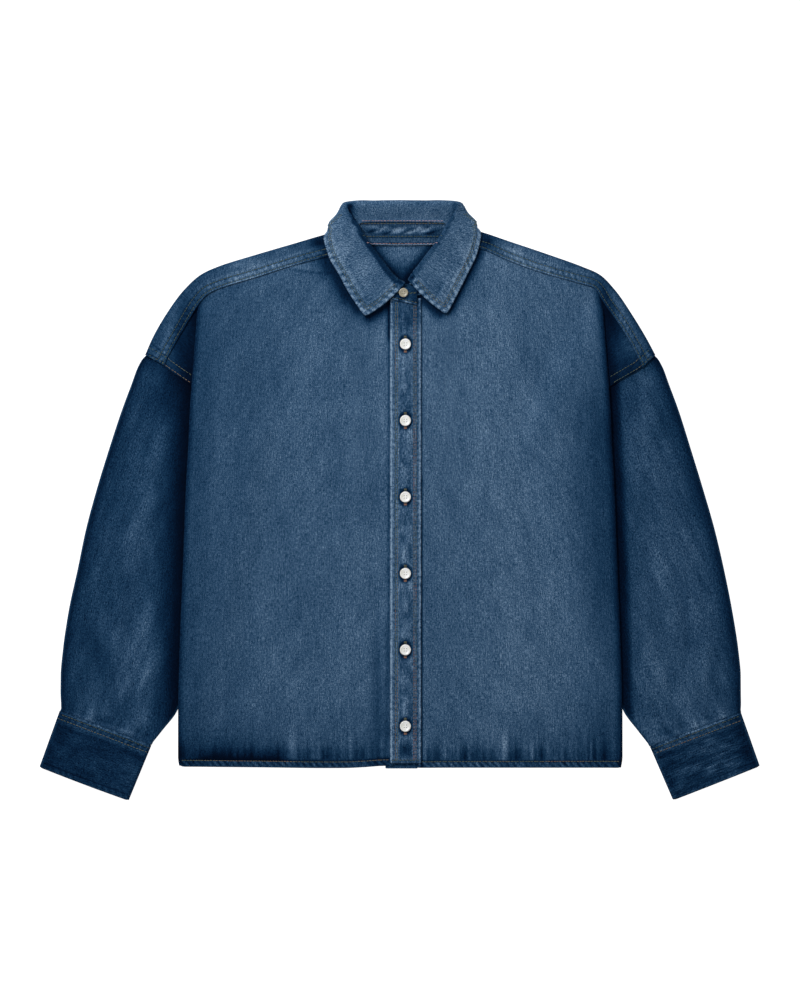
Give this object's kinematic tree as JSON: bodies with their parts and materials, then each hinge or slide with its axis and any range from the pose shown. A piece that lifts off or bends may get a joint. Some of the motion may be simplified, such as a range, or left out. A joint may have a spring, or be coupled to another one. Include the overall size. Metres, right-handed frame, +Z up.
{
  "type": "denim shirt laid flat",
  "caption": "Long-sleeved denim shirt with a fold-over collar and a buttoned front placket, laid flat with its sleeves drawn down beside the body.",
  "frame": {"origin": "middle of the bounding box, on the surface that the shirt lies on", "axes": "+X to the wearer's left, +Y from the hem to the collar, +Z up, out of the front"},
  "size_m": [0.8262, 0.6881, 0.0197],
  "materials": {
    "denim_body": "mid blue washed denim twill",
    "denim_trim": "mid blue washed denim twill, two plies, topstitched",
    "denim_sleeve": "darker blue denim twill",
    "denim_cuff": "dark blue denim twill, two plies, topstitched",
    "button": "pearly off-white"
  },
  "bodies": {
    "root": {"back": "denim_body", "yoke": "denim_body", "front_right": "denim_body", "front_left": "denim_body", "placket": "denim_trim", "button_band": "denim_trim", "collar_leaf": "denim_trim", "collar_stand": "denim_trim", "sleeve_right": "denim_sleeve", "sleeve_left": "denim_sleeve", "cuff_right": "denim_cuff", "cuff_left": "denim_cuff", "button_1": "button", "button_2": "button", "button_3": "button", "button_4": "button", "button_5": "button", "button_6": "button", "button_7": "button"}
  },
  "joints": []
}
